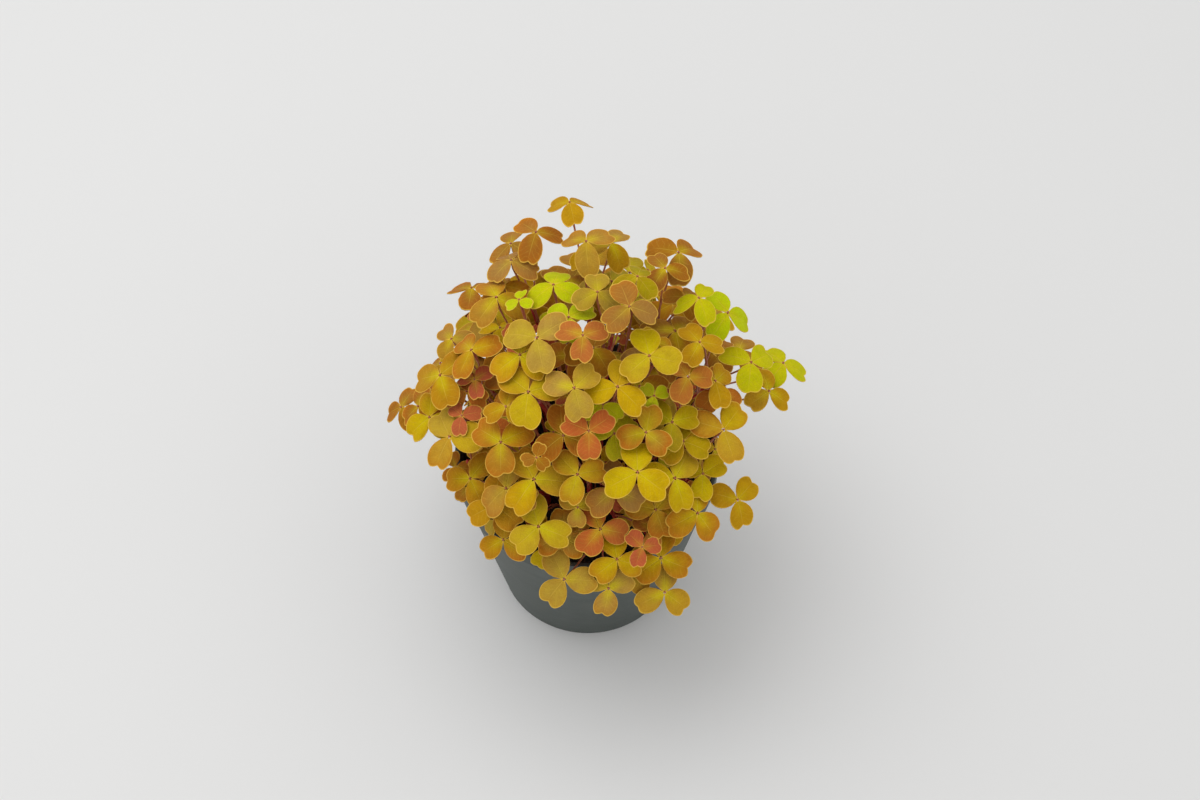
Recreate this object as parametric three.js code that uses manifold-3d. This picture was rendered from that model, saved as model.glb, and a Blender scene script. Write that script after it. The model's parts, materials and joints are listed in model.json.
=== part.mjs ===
// A potted wood sorrel: a thin-walled nursery pot, its soil, and the leafy stems that stand in the soil.
// Millimetres, +Z up, the viewer's side towards -Y. The origin is the centre of the pot's underside.
import * as THREE from "three";
import { mergeVertices } from "three/addons/utils/BufferGeometryUtils.js";
import Module from "manifold-3d";

const wasm = await Module();
wasm.setup();

// ---------------------------------------------------------------- driving dimensions
const POT = {
  rimRadius: 50,
  baseRadius: 35,
  height: 85,
  wall: 1.2,
  floor: 2,
  lipHeight: 8,
  lipOut: 1.3,
  lipSlope: 0.6,
  lipWall: 1.8,
  facets: 32,
  drains: 6,
  drainRing: 24,
  drainRadius: 3.2,
  drainSides: 6,
};
const SOIL = {
  top: 75,
  crown: 1.5,
  crownShare: 0.55,
  gap: 0.3,
  holeDepth: 14,
  holeGap: 0.9,
  holeSides: 4,
};

// The crown is a dome: its top, where that stands, how far it falls at its edge, and how far a leaf's
// face turns outwards there.
const DOME = { across: 3, back: 12, top: 178, fall: 96, radius: 80, tilt: 38, tiltPower: 1.2 };
// From the middle of the plant to its far side the leaves droop more and turn outwards less.
const FAR = { from: -10, to: 30, upright: 0.5 };

const STEM = {
  footShare: 0.42,
  footApart: 5.5,
  footRounds: 40,
  tipShare: 0.84,
  tipBelow: 30,
  tipLowest: 98,
  bend: 0.55,
  radius: 1.15,
  tipRadius: 0.8,
  sides: 4,
  steps: 3,
};
const PETIOLE = { radius: 0.65, steps: 2, sunk: 2, spacing: 4.5, rise: 0.3, arrival: 0.42, longest: 11 };

// One leaflet of length 1: half its edge, from the hub out to the notch in its tip.
const LEAFLET = {
  edge: [[0.36, 0.36], [0.78, 0.45], [1, 0.23]],
  notch: 0.9,
  valley: 0.12,
  thickness: 0.8,
  fold: 0.12,
  nearSag: 0.24,
  farSag: 0.55,
  sagPower: 1.3,
};
// How far leaves differ by chance: their length and each leaflet's sag by a share, each leaflet's heading
// in degrees, and how far a leaf's face leans aside.
const VARIES = { length: 0.05, sag: 0.5, splay: 6, lean: 0.15 };
const LEAFLETS = 3;

// What a crowded leaf may do to stay this clear: move along the light, step aside, or twist.
const CLEARANCE = 0.35;
const LIGHT = new THREE.Vector3(0, -0.53, 0.848);
const CROWDED = { lift: 2.5, lifts: 5, step: 2.5, steps: 3, stepCost: 1.2, twist: 12, twistCost: 0.6 };

// Each shoot: its tone, its leaflets' length, and its leaves as
// [across, back, rise above the dome, turn of the first leaflet, share of that length].
const SHOOTS = {
  far_crown: ["ochre", 11, [[0, 33, 3, 30], [9, 40, -2, 60, 0.9], [-1, 50, 15, 40, 0.85]]],
  far_left: ["bronze", 10.3, [[-18, 41, 10, 15], [-28, 46, 10, 90], [-27, 35, 3, 100]]],
  left_crown: ["ochre", 12, [[-32, 18, 2, 112], [-30, 28, -4, 100, 0.85]]],
  far_right: ["bronze", 11, [[33, 33, 10, 40], [28, 25, 3, 0, 0.85], [33, 26, -8, 60, 0.75]]],
  crown: ["bronze", 11.6, [[15, 2, 4, 110], [5, -7, -10, 60, 0.9]]],
  olive_crown: ["olive", 9.8, [[18, 14, 5, 80], [4, 10, -2, 90]]],
  lime_crown: ["lime", 10, [[-14, 15, -4, 88], [-6, 3, -5, 30]]],
  lime_right: ["lime", 10.8, [[40, 17, 5, 60, 0.8], [51, 17, 6, 0], [57, 5, 5, 30], [73, 18, 14, 0, 1.1]]],
  right_shoulder: ["ochre", 10.3, [[40, 0, 4, 115], [46, -7, 0, 40], [67, 4, 5, 100, 0.92]]],
  coral_right: ["coral", 10.3, [[36, -11, 0, 0], [48, -8, -2, 100]]],
  right_edge: ["gold", 12, [[49, -20, 6, 50], [42, -30, -10, 30, 0.85]]],
  right_low: ["ochre", 11.8, [[40, -44, 4, 95], [55, -35, 4, 50, 0.87]]],
  right_front: ["gold", 12.6, [[29, -39, 2, 70], [18, -38, 5, 89]]],
  right_inner: ["olive", 10.8, [[21, -29, -2, 80], [27, -32, -4, 100], [28, -22, -10, 20]]],
  middle: ["gold", 11.4, [[11, -22, 5, 65], [22, -12, 5, 105], [-4, -22, 4, 30]]],
  coral_middle: ["coral", 10, [[-1, -8, 4, 30], [1, -31, 4, 30]]],
  lime_middle: ["lime", 9.8, [[10, -28, -10, 40], [6, -21, -14, 90, 0.85], [24, -17, -8, 20, 0.6]]],
  bronze_middle: ["bronze", 12, [[-8, -28, -6, 108], [10, -42, -6, 98]]],
  front_inner: ["gold", 12, [[-3, -42, 5, 18, 0.93], [-16, -41, 3, 113, 1.1], [-3, -45, -8, 30, 0.65]]],
  left_face: ["gold", 12.5, [[-20, -21, 6, 15], [-23, -10, 6, 90, 0.95], [-17, -6, 4, 38]]],
  left_inner: ["ochre", 12, [[-30, -28, 4, 30, 1.05], [-28, -23, 8, 80, 0.75], [-31, -35, -2, 100]]],
  left_low: ["ochre", 11, [[-33, -43, 6, 86], [-30, -49, -2, 90, 0.93], [-42, -30, -6, 60]]],
  left_edge: ["gold", 12, [[-57, -9, 6, 85, 0.9], [-49, -20, 6, 115, 1.05]]],
  left_tip: ["bronze", 8.9, [[-69, 3, 12, 60], [-62, 0, 4, 90]]],
  left_shoulder: ["ochre", 11, [[-50, 0, 4, 45, 1.15], [-41, 3, 2, 0], [-49, 12, 6, 0, 0.75]]],
  coral_left: ["coral", 9.5, [[-37, -16, -10, 115], [-38, -1, -14, 90, 0.85]]],
  front_left: ["gold", 12.3, [[-17, -51, 5, 115], [-9, -51, -6, 90, 0.82]]],
  coral_front: ["coral", 10.5, [[5, -53, 4, 112], [24, -48, -8, 30, 0.75]]],
  front: ["gold", 11.6, [[-8, -62, 4, 115], [8, -63, 0, 30, 0.9], [11, -59, 6, 100], [17, -58, -4, 60, 0.8]]],
  front_edge: ["ochre", 11.8, [[27, -57, 6, 95], [26, -62, 0, 90], [25, -43, -10, 60]]],
  under_crown: ["bronze", 12, [[-12, 0, -22, 50], [14, -4, -24, 10], [30, 2, -24, 80], [-30, -4, -20, 20]]],
};
// Behind the crown the shoots fall away in even ranks, each of four leaves: [reach, rise].
const BACK = {
  shoots: 7,
  from: 38,
  to: 150,
  rows: [[37, -24], [48, -28], [59, -30], [70, -28]],
  length: 12.2,
  stagger: 4,
  stray: 5,
  strayRise: 3,
  tones: ["bronze", "ochre", "olive"],
};

const TONES = {
  gold: "#c39a1e",
  ochre: "#b07c1f",
  bronze: "#96581f",
  olive: "#8f7f1d",
  lime: "#b4c214",
  coral: "#cf5c33",
};
const POT_COLOUR = "#4a524d";
const SOIL_COLOUR = "#2b211a";
const ROUGHNESS = { pot: 0.6, soil: 0.95, leaf: 0.55 };
const SEED = 4127;

// ---------------------------------------------------------------- small helpers
let seed = SEED;
function draw(low, high) {
  seed = (seed * 16807) % 2147483647;
  return low + (high - low) * (seed / 2147483647);
}

const radians = THREE.MathUtils.degToRad;
const vector = (x, y, z) => new THREE.Vector3(x, y, z);

function geometryOf(points, triangles) {
  const geometry = new THREE.BufferGeometry();
  const positions = points.flatMap((point) => [point.x, point.y, point.z]);
  geometry.setAttribute("position", new THREE.Float32BufferAttribute(positions, 3));
  geometry.setIndex(triangles);
  return geometry;
}

function solidOf(geometry) {
  const bare = geometry.clone();
  bare.deleteAttribute("normal");
  bare.deleteAttribute("uv");
  const merged = mergeVertices(bare, 1e-4);
  const vertProperties = new Float32Array(merged.attributes.position.array);
  const triVerts = new Uint32Array(merged.index.array);
  return new wasm.Manifold(new wasm.Mesh({ numProp: 3, vertProperties, triVerts }));
}

function meshOf(name, solid, colour, roughness) {
  const { vertProperties, triVerts } = solid.getMesh();
  const geometry = new THREE.BufferGeometry();
  geometry.setAttribute("position", new THREE.BufferAttribute(vertProperties, 3));
  geometry.setIndex(new THREE.BufferAttribute(triVerts, 1));
  const mesh = new THREE.Mesh(
    geometry,
    new THREE.MeshStandardMaterial({ color: colour, roughness, metalness: 0 }),
  );
  mesh.name = name;
  return mesh;
}

// A closed tube of flat sides through the points, with one radius for each.
function tube(points, radii, sides) {
  const corners = [];
  points.forEach((point, i) => {
    const before = points[Math.max(i - 1, 0)];
    const after = points[Math.min(i + 1, points.length - 1)];
    const along = after.clone().sub(before).normalize();
    const side = vector(1, 0, 0).addScaledVector(along, -along.x).normalize();
    const other = along.clone().cross(side);
    for (let k = 0; k < sides; k++) {
      const angle = (2 * Math.PI * k) / sides;
      const corner = point.clone().addScaledVector(side, radii[i] * Math.cos(angle));
      corners.push(corner.addScaledVector(other, radii[i] * Math.sin(angle)));
    }
  });
  const triangles = [];
  const last = (points.length - 1) * sides;
  for (let k = 0; k < sides; k++) {
    const next = (k + 1) % sides;
    for (let ring = 0; ring < last; ring += sides) {
      triangles.push(ring + k, ring + next, ring + sides + next);
      triangles.push(ring + k, ring + sides + next, ring + sides + k);
    }
    if (k > 0 && k < sides - 1) {
      triangles.push(0, next, k);
      triangles.push(last, last + k, last + next);
    }
  }
  return geometryOf(corners, triangles);
}

// ---------------------------------------------------------------- pot and soil
const innerRadius = (height) => {
  const share = height / (POT.height - POT.lipHeight);
  return THREE.MathUtils.lerp(POT.baseRadius, POT.rimRadius - POT.lipOut, share) - POT.wall;
};

function lathe(profile) {
  const outline = profile.map(([radius, height]) => new THREE.Vector2(radius, height));
  return solidOf(new THREE.LatheGeometry(outline, POT.facets).rotateX(Math.PI / 2));
}

function potSolid() {
  const underLip = POT.height - POT.lipHeight;
  let pot = lathe([
    [0, 0],
    [POT.baseRadius, 0],
    [POT.rimRadius - POT.lipOut, underLip],
    [POT.rimRadius, underLip + POT.lipSlope],
    [POT.rimRadius, POT.height],
    [POT.rimRadius - POT.lipWall, POT.height],
    [innerRadius(underLip), underLip],
    [innerRadius(POT.floor), POT.floor],
    [0, POT.floor],
  ]);
  // The drains go straight down through the floor.
  const { drainRing, drainRadius, drainSides } = POT;
  for (let k = 0; k < POT.drains; k++) {
    const angle = (2 * Math.PI * k) / POT.drains;
    const drain = new THREE.CylinderGeometry(drainRadius, drainRadius, 2 * POT.floor, drainSides);
    drain.rotateX(Math.PI / 2);
    drain.translate(drainRing * Math.cos(angle), drainRing * Math.sin(angle), POT.floor / 2);
    pot = pot.subtract(solidOf(drain));
  }
  return pot;
}

function soilSolid(shoots) {
  const bottom = POT.floor + SOIL.gap;
  let soil = lathe([
    [0, bottom],
    [innerRadius(bottom) - SOIL.gap, bottom],
    [innerRadius(SOIL.top) - SOIL.gap, SOIL.top],
    [innerRadius(SOIL.top) * SOIL.crownShare, SOIL.top + SOIL.crown],
    [0, SOIL.top + SOIL.crown],
  ]);
  const radius = STEM.radius + SOIL.holeGap;
  for (const { foot } of shoots) {
    const hole = new THREE.CylinderGeometry(radius, radius, 2 * SOIL.holeDepth, SOIL.holeSides);
    soil = soil.subtract(solidOf(hole.rotateX(Math.PI / 2).translate(foot.x, foot.y, SOIL.top)));
  }
  return soil;
}

// ---------------------------------------------------------------- where the leaves and stems stand
const domeHeight = (x, y) =>
  DOME.top - (DOME.fall * ((x - DOME.across) ** 2 + (y - DOME.back) ** 2)) / DOME.radius ** 2;

function backShoots() {
  const shoots = {};
  for (let k = 0; k < BACK.shoots; k++) {
    const bearing = THREE.MathUtils.lerp(BACK.from, BACK.to, k / (BACK.shoots - 1));
    const leaves = BACK.rows.map(([reach, rise], row) => {
      const stagger = row % 2 ? -BACK.stagger : BACK.stagger;
      const angle = radians(bearing + stagger + draw(-BACK.stray, BACK.stray));
      const height = rise + draw(-BACK.strayRise, BACK.strayRise);
      return [reach * Math.cos(angle), reach * Math.sin(angle), height, draw(0, 360 / LEAFLETS)];
    });
    shoots[`back_${k + 1}`] = [BACK.tones[k % BACK.tones.length], BACK.length, leaves];
  }
  return shoots;
}

function leafPlan([x, y, rise, turn, share = 1], length) {
  const far = THREE.MathUtils.clamp((y - FAR.from) / (FAR.to - FAR.from), 0, 1);
  const sag = THREE.MathUtils.lerp(LEAFLET.nearSag, LEAFLET.farSag, far);
  const forEachLeaflet = (value) => Array.from({ length: LEAFLETS }, value);
  return {
    hub: vector(x, y, domeHeight(x, y) + rise),
    turn,
    far,
    length: length * share * draw(1 - VARIES.length, 1 + VARIES.length),
    sag,
    sags: forEachLeaflet(() => sag * draw(1 - VARIES.sag, 1 + VARIES.sag)),
    splay: forEachLeaflet(() => draw(-VARIES.splay, VARIES.splay)),
    lean: vector(draw(-VARIES.lean, VARIES.lean), draw(-VARIES.lean, VARIES.lean), 0),
  };
}

// A shoot's foot and tip both stand under the middle of its leaves, the foot nearer the pot's axis.
function shootPlans() {
  const all = { ...SHOOTS, ...backShoots() };
  const shoots = Object.entries(all).map(([name, [tone, length, list]]) => {
    const leaves = list.map((leaf) => leafPlan(leaf, length));
    const middle = vector(0, 0, 0);
    leaves.forEach(({ hub }) => middle.addScaledVector(hub, 1 / leaves.length));
    const footHeight = SOIL.top - SOIL.holeDepth + SOIL.gap;
    const foot = vector(middle.x * STEM.footShare, middle.y * STEM.footShare, footHeight);
    const tipHeight = Math.max(middle.z - STEM.tipBelow, STEM.tipLowest);
    const tip = vector(middle.x * STEM.tipShare, middle.y * STEM.tipShare, tipHeight);
    return { name: `shoot_${name}`, tone, leaves, foot, tip };
  });
  spreadFeet(shoots);
  return shoots;
}

// Feet that stand too close are pushed apart, a little at a time.
function spreadFeet(shoots) {
  for (let round = 0; round < STEM.footRounds; round++) {
    for (const [i, a] of shoots.entries()) {
      for (const b of shoots.slice(i + 1)) {
        const apart = Math.hypot(b.foot.x - a.foot.x, b.foot.y - a.foot.y);
        const push = (STEM.footApart - apart) / 2;
        if (push > 0) {
          const step = b.foot.clone().sub(a.foot).multiplyScalar(push / apart);
          a.foot.sub(step);
          b.foot.add(step);
        }
      }
    }
  }
}

// ---------------------------------------------------------------- stems, petioles and leaves
// A stem stands straight in its hole, and from just above the soil it leans out to its tip.
function stemCurve({ foot, tip }) {
  const start = vector(foot.x, foot.y, SOIL.top + 2 * SOIL.crown);
  const bend = vector(foot.x, foot.y, THREE.MathUtils.lerp(start.z, tip.z, STEM.bend));
  return new THREE.QuadraticBezierCurve3(start, bend, tip);
}

function stemGeometry(shoot) {
  const leaning = stemCurve(shoot).getPoints(STEM.steps);
  const radii = leaning.map((_, i) => THREE.MathUtils.lerp(STEM.radius, STEM.tipRadius, i / STEM.steps));
  return tube([shoot.foot, ...leaning], [STEM.radius, ...radii], STEM.sides);
}

// The leaf's own axes once it has made its move: its face turns outwards from the middle of the dome, and
// leans a little aside.
function leafFrame(leaf, move) {
  const hub = leaf.hub.clone().addScaledVector(LIGHT, move.lift).add(vector(move.x, move.y, 0));
  const out = vector(leaf.hub.x - DOME.across, leaf.hub.y - DOME.back, 0);
  const steepness = (out.length() / DOME.radius) ** DOME.tiltPower;
  const tilt = radians(DOME.tilt * steepness * (1 - FAR.upright * leaf.far));
  const outwards = out.normalize().multiplyScalar(Math.sin(tilt)).add(vector(0, 0, Math.cos(tilt)));
  const up = outwards.add(leaf.lean).normalize();
  const right = vector(1, 0, 0).addScaledVector(up, -up.x).normalize();
  const turn = leaf.turn + move.twist;
  const headings = leaf.splay.map((splay, k) => turn + (360 / LEAFLETS) * k + splay);
  return { hub, up, right, forth: up.clone().cross(right), turn, headings };
}

// The petiole leaves the stem near its tip and meets the leaf's hub square to its face. Its points run
// down from just below the hub.
function petiolePoints(shoot, place, frame) {
  const stem = stemCurve(shoot);
  const root = stem.getPoint(1 - (PETIOLE.sunk + PETIOLE.spacing * place) / stem.getLength());
  const reach = frame.hub.distanceTo(root);
  const arrival = Math.min(reach * PETIOLE.arrival, PETIOLE.longest);
  const curve = new THREE.CubicBezierCurve3(
    frame.hub,
    frame.hub.clone().addScaledVector(frame.up, -arrival),
    root.clone().add(vector(0, 0, reach * PETIOLE.rise)),
    root,
  );
  return curve.getPoints(PETIOLE.steps).slice(1);
}

// The blade's edge anticlockwise, leaflet by leaflet, with a valley after each. Every leaflet sags in its
// own way, and the valleys all alike.
function bladeEdge(leaf, frame, length) {
  const points = [];
  const put = (degrees, along, across, sag) => {
    const heading = radians(degrees);
    const u = length * (along * Math.cos(heading) - across * Math.sin(heading));
    const v = length * (along * Math.sin(heading) + across * Math.cos(heading));
    const lift = length * (LEAFLET.fold * Math.abs(across) - sag * along ** LEAFLET.sagPower);
    const point = frame.hub.clone().addScaledVector(frame.up, lift);
    points.push(point.addScaledVector(frame.right, u).addScaledVector(frame.forth, v));
  };
  frame.headings.forEach((heading, k) => {
    const sag = leaf.sags[k];
    LEAFLET.edge.forEach(([along, across]) => put(heading, along, -across, sag));
    put(heading, LEAFLET.notch, 0, sag);
    LEAFLET.edge.toReversed().forEach(([along, across]) => put(heading, along, across, sag));
    put(frame.turn + (360 / LEAFLETS) * (k + 0.5), LEAFLET.valley, 0, leaf.sag);
  });
  return points;
}

// Rings round the petiole, with one corner under each leaflet.
function petioleRings(spine, frame, radius) {
  return spine.flatMap((point, i) => {
    const above = spine[Math.max(i - 1, 0)];
    const below = spine[Math.min(i + 1, spine.length - 1)];
    const along = above.clone().sub(below).normalize();
    const side = frame.right.clone().addScaledVector(along, -frame.right.dot(along)).normalize();
    const other = along.clone().cross(side);
    return frame.headings.map(radians).map((heading) => {
      const corner = point.clone().addScaledVector(side, radius * Math.cos(heading));
      return corner.addScaledVector(other, radius * Math.sin(heading));
    });
  });
}

// A leaf is one closed surface. Both faces are fans, alike but for their middles: the upper face meets
// at the hub, and the lower face opens into the petiole's first ring.
function leafTriangles() {
  const perLeaflet = 2 * LEAFLET.edge.length + 2;
  const edge = LEAFLETS * perLeaflet;
  const ring = 2 * edge;
  const root = ring + LEAFLETS * PETIOLE.steps;
  const hub = root + LEAFLETS;
  const triangles = [];
  for (let a = 0; a < edge; a++) {
    const b = (a + 1) % edge;
    const corner = ring + Math.floor(b / perLeaflet);
    triangles.push(hub, a, b, corner, b + edge, a + edge, a, a + edge, b + edge, a, b + edge, b);
  }
  for (let k = 0; k < LEAFLETS; k++) {
    const next = (k + 1) % LEAFLETS;
    triangles.push(ring + k, ring + next, edge + perLeaflet * (k + 1) - 1);
    for (let upper = ring; upper < root; upper += LEAFLETS) {
      const lower = upper + LEAFLETS;
      triangles.push(upper + k, lower + next, upper + next, upper + k, lower + k, lower + next);
    }
  }
  triangles.push(root, root + 2, root + 1);
  return triangles;
}
const LEAF_TRIANGLES = leafTriangles();

function leafGeometry(shoot, place, frame, fatter) {
  const leaf = shoot.leaves[place];
  const half = LEAFLET.thickness / 2 + fatter;
  const shifted = (point, distance) => point.clone().addScaledVector(frame.up, distance);
  const edge = bladeEdge(leaf, frame, leaf.length + fatter);
  const spine = [shifted(frame.hub, -half), ...petiolePoints(shoot, place, frame)];
  const points = [
    ...edge.map((point) => shifted(point, half)),
    ...edge.map((point) => shifted(point, -half)),
    ...petioleRings(spine, frame, PETIOLE.radius + fatter),
    shifted(frame.hub, half),
  ];
  return geometryOf(points, LEAF_TRIANGLES);
}

// ---------------------------------------------------------------- clear of the neighbours
// Every move that a crowded leaf may make, the smallest first.
function crowdedMoves() {
  const span = (n) => Array.from({ length: 2 * n + 1 }, (_, i) => i - n);
  const moves = [];
  for (const lift of span(CROWDED.lifts)) {
    for (const x of span(CROWDED.steps)) {
      for (const y of span(CROWDED.steps)) {
        for (const twist of span(1)) {
          moves.push({
            cost:
              Math.abs(lift) +
              CROWDED.stepCost * Math.hypot(x, y) +
              CROWDED.twistCost * Math.abs(twist),
            lift: lift * CROWDED.lift,
            x: x * CROWDED.step,
            y: y * CROWDED.step,
            twist: twist * CROWDED.twist,
          });
        }
      }
    }
  }
  return moves.sort((a, b) => a.cost - b.cost);
}

const boxOf = (solid) => solid.boundingBox();

function boxesMeet(a, b) {
  return [0, 1, 2].every((k) => a.min[k] < b.max[k] && b.min[k] < a.max[k]);
}

function meets(solid, pieces) {
  const box = boxOf(solid);
  return pieces.some((piece) => boxesMeet(box, piece.box) && !solid.intersect(piece.solid).isEmpty());
}

const pieceOf = (owner, kind, solid) => ({ owner, kind, solid, box: boxOf(solid) });

// The highest leaves are placed first. Each makes the smallest move that keeps it clear of every other
// piece, or at least of the other shoots' pieces where its own shoot is dense.
function growShoots(shoots, pieces) {
  shoots.forEach((shoot) => pieces.push(pieceOf(shoot.name, "stem", solidOf(stemGeometry(shoot)))));
  const moves = crowdedMoves();
  const queue = shoots.flatMap((shoot) => shoot.leaves.map((leaf, place) => ({ shoot, leaf, place })));
  queue.sort((a, b) => b.leaf.hub.z - a.leaf.hub.z);
  for (const { shoot, leaf, place } of queue) {
    const solidAt = (move, fatter) => solidOf(leafGeometry(shoot, place, leafFrame(leaf, move), fatter));
    const others = pieces.filter(({ owner }) => owner !== shoot.name);
    const ownLeaves = pieces.filter(({ owner, kind }) => owner === shoot.name && kind === "leaf");
    const clearOf = (list) => moves.find((move) => !meets(solidAt(move, CLEARANCE), list));
    const move = clearOf([...others, ...ownLeaves]) ?? clearOf(others);
    if (!move) throw new Error(`${shoot.name} leaf ${place} has no clear place`);
    pieces.push(pieceOf(shoot.name, "leaf", solidAt(move, 0)));
  }
}

// ---------------------------------------------------------------- assembly
const shoots = shootPlans();
const pot = potSolid();
const soil = soilSolid(shoots);
const pieces = [pieceOf("pot", "pot", pot), pieceOf("soil", "soil", soil)];
growShoots(shoots, pieces);

const plant = new THREE.Group();
plant.add(meshOf("pot", pot, POT_COLOUR, ROUGHNESS.pot));
plant.add(meshOf("soil", soil, SOIL_COLOUR, ROUGHNESS.soil));
for (const { name, tone } of shoots) {
  const own = pieces.filter(({ owner }) => owner === name).map(({ solid }) => solid);
  plant.add(meshOf(name, wasm.Manifold.union(own), TONES[tone], ROUGHNESS.leaf));
}

export default plant;
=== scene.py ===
"""A potted wood sorrel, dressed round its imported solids.

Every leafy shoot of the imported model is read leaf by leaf, and made again with thin creased blades on
slender petioles. The pot is turned smooth, and the soil gets its crumbs.
"""
import json
import math
import random

import bmesh
import bpy
from bpy.props import FloatProperty, FloatVectorProperty, IntProperty, PointerProperty
from mathutils import Matrix, Vector, noise
from mathutils.bvhtree import BVHTree
from mathutils.geometry import interpolate_bezier

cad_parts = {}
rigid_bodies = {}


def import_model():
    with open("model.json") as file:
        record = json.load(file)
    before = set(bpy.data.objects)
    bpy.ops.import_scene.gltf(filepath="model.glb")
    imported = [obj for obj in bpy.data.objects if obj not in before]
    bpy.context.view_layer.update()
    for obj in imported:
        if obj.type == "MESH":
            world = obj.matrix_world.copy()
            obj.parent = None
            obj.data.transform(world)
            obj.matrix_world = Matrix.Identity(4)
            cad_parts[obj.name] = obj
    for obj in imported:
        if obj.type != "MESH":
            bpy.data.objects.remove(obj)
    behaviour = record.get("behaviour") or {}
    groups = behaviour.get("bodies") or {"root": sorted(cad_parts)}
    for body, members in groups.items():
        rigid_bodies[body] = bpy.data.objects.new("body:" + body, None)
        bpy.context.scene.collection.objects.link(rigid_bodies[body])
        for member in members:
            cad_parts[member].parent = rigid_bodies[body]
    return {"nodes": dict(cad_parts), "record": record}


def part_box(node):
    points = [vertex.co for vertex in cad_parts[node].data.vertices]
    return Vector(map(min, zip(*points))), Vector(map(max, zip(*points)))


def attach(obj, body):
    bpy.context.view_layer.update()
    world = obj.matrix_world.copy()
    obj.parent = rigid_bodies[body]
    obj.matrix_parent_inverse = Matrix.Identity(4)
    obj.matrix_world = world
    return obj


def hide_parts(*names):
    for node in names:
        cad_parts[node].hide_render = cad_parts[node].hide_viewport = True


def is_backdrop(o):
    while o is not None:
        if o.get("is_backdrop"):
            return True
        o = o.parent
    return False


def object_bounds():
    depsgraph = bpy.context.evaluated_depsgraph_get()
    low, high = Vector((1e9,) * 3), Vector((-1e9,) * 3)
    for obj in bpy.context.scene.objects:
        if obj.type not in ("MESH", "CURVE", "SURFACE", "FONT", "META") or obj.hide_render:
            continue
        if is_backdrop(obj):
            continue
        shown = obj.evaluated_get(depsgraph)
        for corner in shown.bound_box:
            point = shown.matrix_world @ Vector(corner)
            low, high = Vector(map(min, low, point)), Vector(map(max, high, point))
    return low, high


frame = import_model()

bl_info = {
    "name": "Potted Wood Sorrel",
    "version": (1, 0, 0),
    "blender": (4, 5, 0),
    "location": "3D Viewport > Sidebar > Sorrel",
    "description": "Dresses a packed pot of wood sorrel with leaves, stems, soil and a stage",
    "category": "Object",
}

CAD_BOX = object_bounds()
MM = 0.001
UP = Vector((0, 0, 1))
POT_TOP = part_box("pot")[1]
SOIL_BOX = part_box("soil")
SHOOTS = sorted(name for name in frame["nodes"] if name.startswith("shoot_"))
SLOT_OF = {part["node"]: part["material_slot"] for part in frame["record"]["subparts"]}
SEED = 71
SAME_POINT = 1e-6
SAME_LEVEL = 0.1 * MM


def foot_radius(node):
    """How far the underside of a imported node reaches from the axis."""
    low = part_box(node)[0].z
    vertices = frame["nodes"][node].data.vertices
    return max(vert.co.xy.length for vert in vertices if vert.co.z < low + SAME_LEVEL)


POT_FOOT = foot_radius("pot")
SOIL_FOOT = foot_radius("soil")

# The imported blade: a fan of spokes round its hub, whose notches lie at this share of a leaflet, and which
# sags by this power of the way out.
SPOKES = 24
LEAFLETS = 3
NOTCH_AT = 0.9
PACKED_THICKNESS = 0.8 * MM
SAG_POWER = 1.3


# ---------------------------------------------------------------- settings
def millimetres(name, description, default):
    """A length that a user may change."""
    return FloatProperty(
        name=name, description=description, default=default * MM, unit="LENGTH", precision=5
    )


def share(name, description, default):
    """A plain number that a user may change."""
    return FloatProperty(name=name, description=description, default=default)


def colour(name, description, red, green, blue):
    """A colour that a user may change, as linear light."""
    return FloatVectorProperty(
        name=name, description=description, default=(red, green, blue), subtype="COLOR", size=3
    )


class SorrelPotSettings(bpy.types.PropertyGroup):
    wall: millimetres("Wall", "Thickness of the pot's wall below its lip", 1.2)
    floor: millimetres("Floor", "Thickness of the pot's floor", 2)
    recess: millimetres("Recess", "How far the middle of the underside is drawn in", 0.8)
    foot_ring: millimetres("Foot ring", "Width of the ring that the pot stands on", 3.5)
    ring_slope: millimetres("Ring slope", "Width of the slope from that ring to the recess", 1.4)
    lip_height: millimetres("Lip height", "Height of the band round the rim", 8)
    lip_out: millimetres("Lip step", "How far the band stands out from the wall", 1.3)
    lip_slope: millimetres("Lip slope", "How far the band's underside slopes", 0.6)
    lip_wall: millimetres("Lip wall", "Thickness of the band", 1.8)
    rounding: millimetres("Rounding", "Radius on the pot's moulded edges", 0.5)
    drain_radius: millimetres("Drain radius", "Radius of the holes in the floor", 3.2)
    drain_ring: millimetres("Drain ring", "How far the holes stand from the pot's axis", 24)
    plastic: colour("Plastic", "The pot's grey-green plastic", 0.062, 0.076, 0.068)
    dust: colour("Dust", "Dried splashes and dust on the plastic", 0.22, 0.22, 0.19)


class SorrelSoilSettings(bpy.types.PropertyGroup):
    crumbs: IntProperty(name="Crumbs", description="Loose crumbs on the soil", default=260)
    crumb_size: millimetres("Crumb size", "Radius of a middling crumb", 1.3)
    crumb_edge: millimetres("Crumb edge", "How far the crumbs stay from the pot's wall", 3)
    lumps: millimetres("Lumps", "Height of the soil's lumps", 1.6)
    level: millimetres("Level", "How far the soil's surface lies under the crowns of its lumps", 1)
    clearance: millimetres("Clearance", "Gap between the soil's surface and the pot's wall", 0.2)
    damp: colour("Damp", "The soil in its hollows", 0.014, 0.009, 0.006)
    dry: colour("Dry", "The soil on its high spots", 0.075, 0.048, 0.03)


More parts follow.
